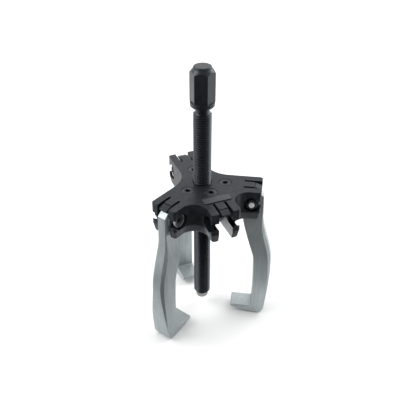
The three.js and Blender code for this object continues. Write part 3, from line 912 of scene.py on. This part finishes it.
# ---------- studio, in metres ----------
CAMERA_TURN = -21.871  # degrees about Z
CAMERA_TILT = 55.804  # degrees up from looking straight down
CAMERA_AT = (-0.1929, -0.4742, 0.3232 + HEAD_TOP * MM)
CAMERA_LENS = 52.2  # millimetres on a 36 mm sensor
TO_CAMERA = Matrix.Rotation(math.radians(CAMERA_TURN), 3, "Z") @ Vector((0, -1, 0))
FLOOR_HALF = 12
FLAG_HALF = 0.5
FLAG_OUT = 0.58  # from the spindle's axis towards the camera
FLAG_RISE = 0.002
SKY_BRIGHT = 1.2
SKY_DIM = 0.3  # in the camera's direction
KEY_SIZE = (0.9, 0.9)
KEY_TARGET = (0, 0, 0.12)


def make_floor():
    bm = bmesh.new()
    bmesh.ops.create_grid(bm, x_segments=2, y_segments=2, size=FLOOR_HALF)
    floor = new_object("floor", bm)
    floor.location.z = cad_box[0].z
    made = Surface("studio_floor", specular=0.1)
    made.colour(made.blend(made.noise(3, 2), (0.93, 0.93, 0.93), (0.95, 0.95, 0.95)))
    made.shader.inputs["Roughness"].default_value = 0.9
    floor.data.materials.append(made.material)


def make_flag():
    """A dark card on the floor towards the camera, seen only in reflections: it keeps the near faces dark."""
    bm = bmesh.new()
    bmesh.ops.create_grid(bm, x_segments=1, y_segments=1, size=1)
    flag = new_object("flag", bm)
    flag.scale = (FLAG_HALF, FLAG_HALF, 1)
    flag.rotation_euler = (0, 0, math.radians(CAMERA_TURN))
    flag.location = (*(FLAG_OUT * TO_CAMERA.xy), cad_box[0].z + FLAG_RISE)
    made = Surface("flag_cloth", specular=0.0)
    made.colour(made.blend(made.noise(20), (0.01, 0.01, 0.01), (0.014, 0.014, 0.014)))
    made.shader.inputs["Roughness"].default_value = 1.0
    flag.data.materials.append(made.material)
    flag.visible_camera = flag.visible_diffuse = flag.visible_shadow = False


def make_light(name, power, place):
    """A square soft light that points at the middle of the tool."""
    light = bpy.data.lights.new(name, "AREA")
    light.shape = "RECTANGLE"
    light.size, light.size_y = KEY_SIZE
    light.energy = power
    lamp = bpy.data.objects.new(name, light)
    lamp.location = place
    lamp.rotation_euler = (Vector(KEY_TARGET) - Vector(place)).to_track_quat("-Z", "Y").to_euler()
    bpy.context.scene.collection.objects.link(lamp)


def make_sky():
    """Soft white light from all round, weaker from the camera's side."""
    world = bpy.data.worlds.new("studio")
    world.use_nodes = True
    tree = world.node_tree
    background = tree.nodes["Background"]
    background.inputs["Color"].default_value = (1, 1, 1, 1)
    toward = tree.nodes.new("ShaderNodeVectorMath")
    toward.operation = "DOT_PRODUCT"
    toward.inputs[1].default_value = TO_CAMERA
    tree.links.new(tree.nodes.new("ShaderNodeTexCoord").outputs["Generated"], toward.inputs[0])
    fade = tree.nodes.new("ShaderNodeMapRange")
    fade.interpolation_type = "SMOOTHSTEP"
    for key, value in (("From Min", 0.0), ("From Max", 0.75), ("To Min", SKY_BRIGHT), ("To Max", SKY_DIM)):
        fade.inputs[key].default_value = value
    tree.links.new(toward.outputs["Value"], fade.inputs["Value"])
    tree.links.new(fade.outputs["Result"], background.inputs["Strength"])
    bpy.context.scene.world = world


def make_studio():
    make_sky()
    bpy.context.scene.view_settings.view_transform = "Standard"
    make_light("key_left", 9, (-1.0, 0.3, 1.0))
    make_light("key_right", 7, (1.1, 0.2, 0.8))
    make_flag()


def make_camera():
    """The photograph's viewing angle: the lens, height and heading fitted to the tool's own proportions."""
    data = bpy.data.cameras.new("camera")
    data.lens = CAMERA_LENS
    data.sensor_width = 36
    data.clip_start, data.clip_end = 0.05, 50
    camera = bpy.data.objects.new("camera", data)
    camera.location = CAMERA_AT
    camera.rotation_euler = (math.radians(CAMERA_TILT), 0, math.radians(CAMERA_TURN))
    bpy.context.scene.collection.objects.link(camera)
    bpy.context.scene.camera = camera


make_crosshead()
make_spindle()
make_tip()
make_label()
dress_inner_nodes()
for arm, degrees in LEG_ARMS.items():
    make_leg(arm, degrees)
    make_pivot_screw(arm, degrees)
    make_pivot_nut(arm, degrees)
    make_washers(arm, degrees)
for arm, degrees in {**LEG_ARMS, "d": SPARE_ARM}.items():
    make_hub_screw(arm, degrees)
make_floor()
make_studio()
make_camera()
